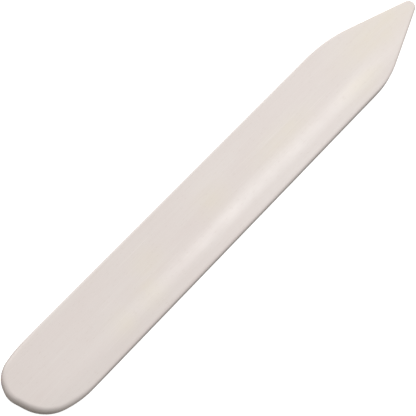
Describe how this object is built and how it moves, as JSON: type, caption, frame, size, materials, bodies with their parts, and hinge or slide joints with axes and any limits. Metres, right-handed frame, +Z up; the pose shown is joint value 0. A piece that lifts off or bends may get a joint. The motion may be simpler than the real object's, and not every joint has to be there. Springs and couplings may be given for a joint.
{
  "type": "bone folder",
  "caption": "Flat polished bone blade for creasing, scoring and burnishing paper, rounded at one end and drawn to a point at the other.",
  "frame": {"origin": "the middle of the flat underside, under the centre of the tool's length and width", "axes": "+X along the tool to its point, +Y to the left of the point, +Z up out of the upper side"},
  "size_m": [0.1524, 0.0198, 0.0034],
  "materials": {
    "polished_bone": "satin"
  },
  "bodies": {
    "root": {"bone_blade": "polished_bone"}
  },
  "joints": []
}
